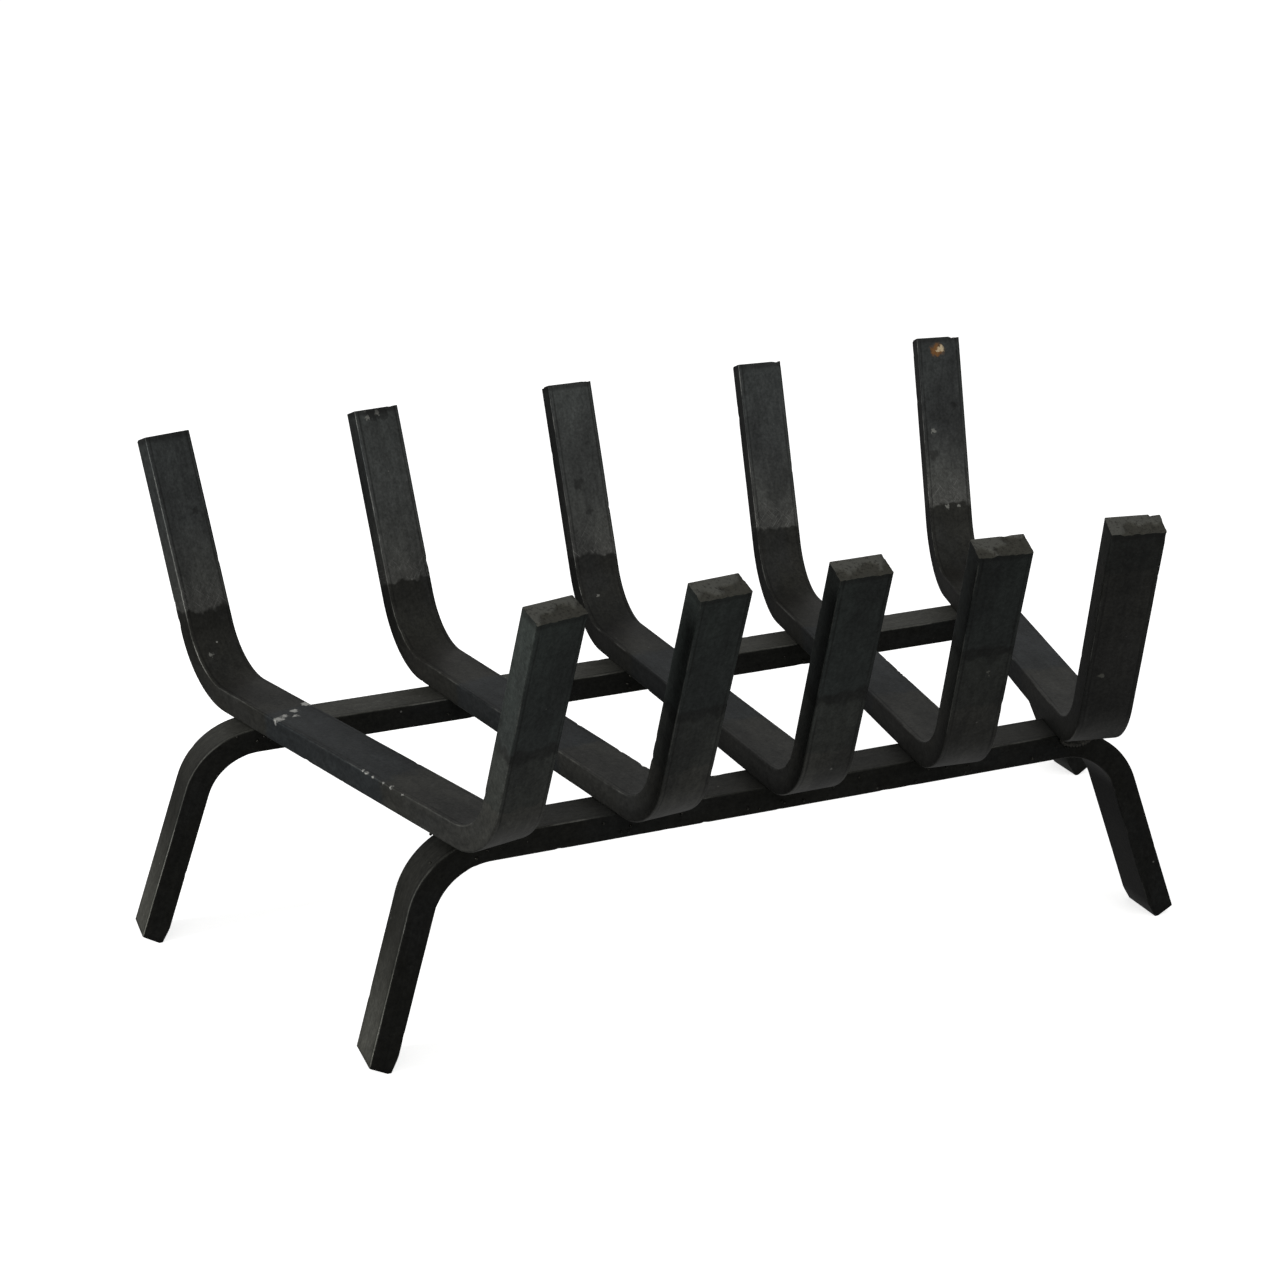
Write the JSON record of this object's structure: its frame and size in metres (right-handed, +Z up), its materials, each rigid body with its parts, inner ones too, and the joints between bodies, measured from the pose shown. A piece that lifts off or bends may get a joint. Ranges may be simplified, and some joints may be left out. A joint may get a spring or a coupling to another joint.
{
  "type": "fireplace log rack",
  "caption": "Welded flat-bar fireplace log rack: bent log bars with tall and short tines, fanned across rails that bend down into splayed legs.",
  "frame": {"origin": "on the hearth, at the middle of the rack's plan", "axes": "+X along the leg rails, +Y from the narrow side with the short tines towards the wide side with the tall tines, +Z up"},
  "size_m": [0.5548, 0.3893, 0.2466],
  "materials": {
    "mill_scale_steel": "hot-rolled steel, black mill scale, satin",
    "weld_metal": "as-laid weld bead, scaled dark grey"
  },
  "bodies": {
    "root": {"narrow_leg_rail": "mill_scale_steel", "wide_leg_rail": "mill_scale_steel", "log_bar_1": "mill_scale_steel", "log_bar_2": "mill_scale_steel", "log_bar_3": "mill_scale_steel", "log_bar_4": "mill_scale_steel", "log_bar_5": "mill_scale_steel", "narrow_weld_1": "weld_metal", "narrow_weld_2": "weld_metal", "narrow_weld_3": "weld_metal", "narrow_weld_4": "weld_metal", "narrow_weld_5": "weld_metal", "wide_weld_1": "weld_metal", "wide_weld_2": "weld_metal", "wide_weld_3": "weld_metal", "wide_weld_4": "weld_metal", "wide_weld_5": "weld_metal"}
  },
  "joints": []
}
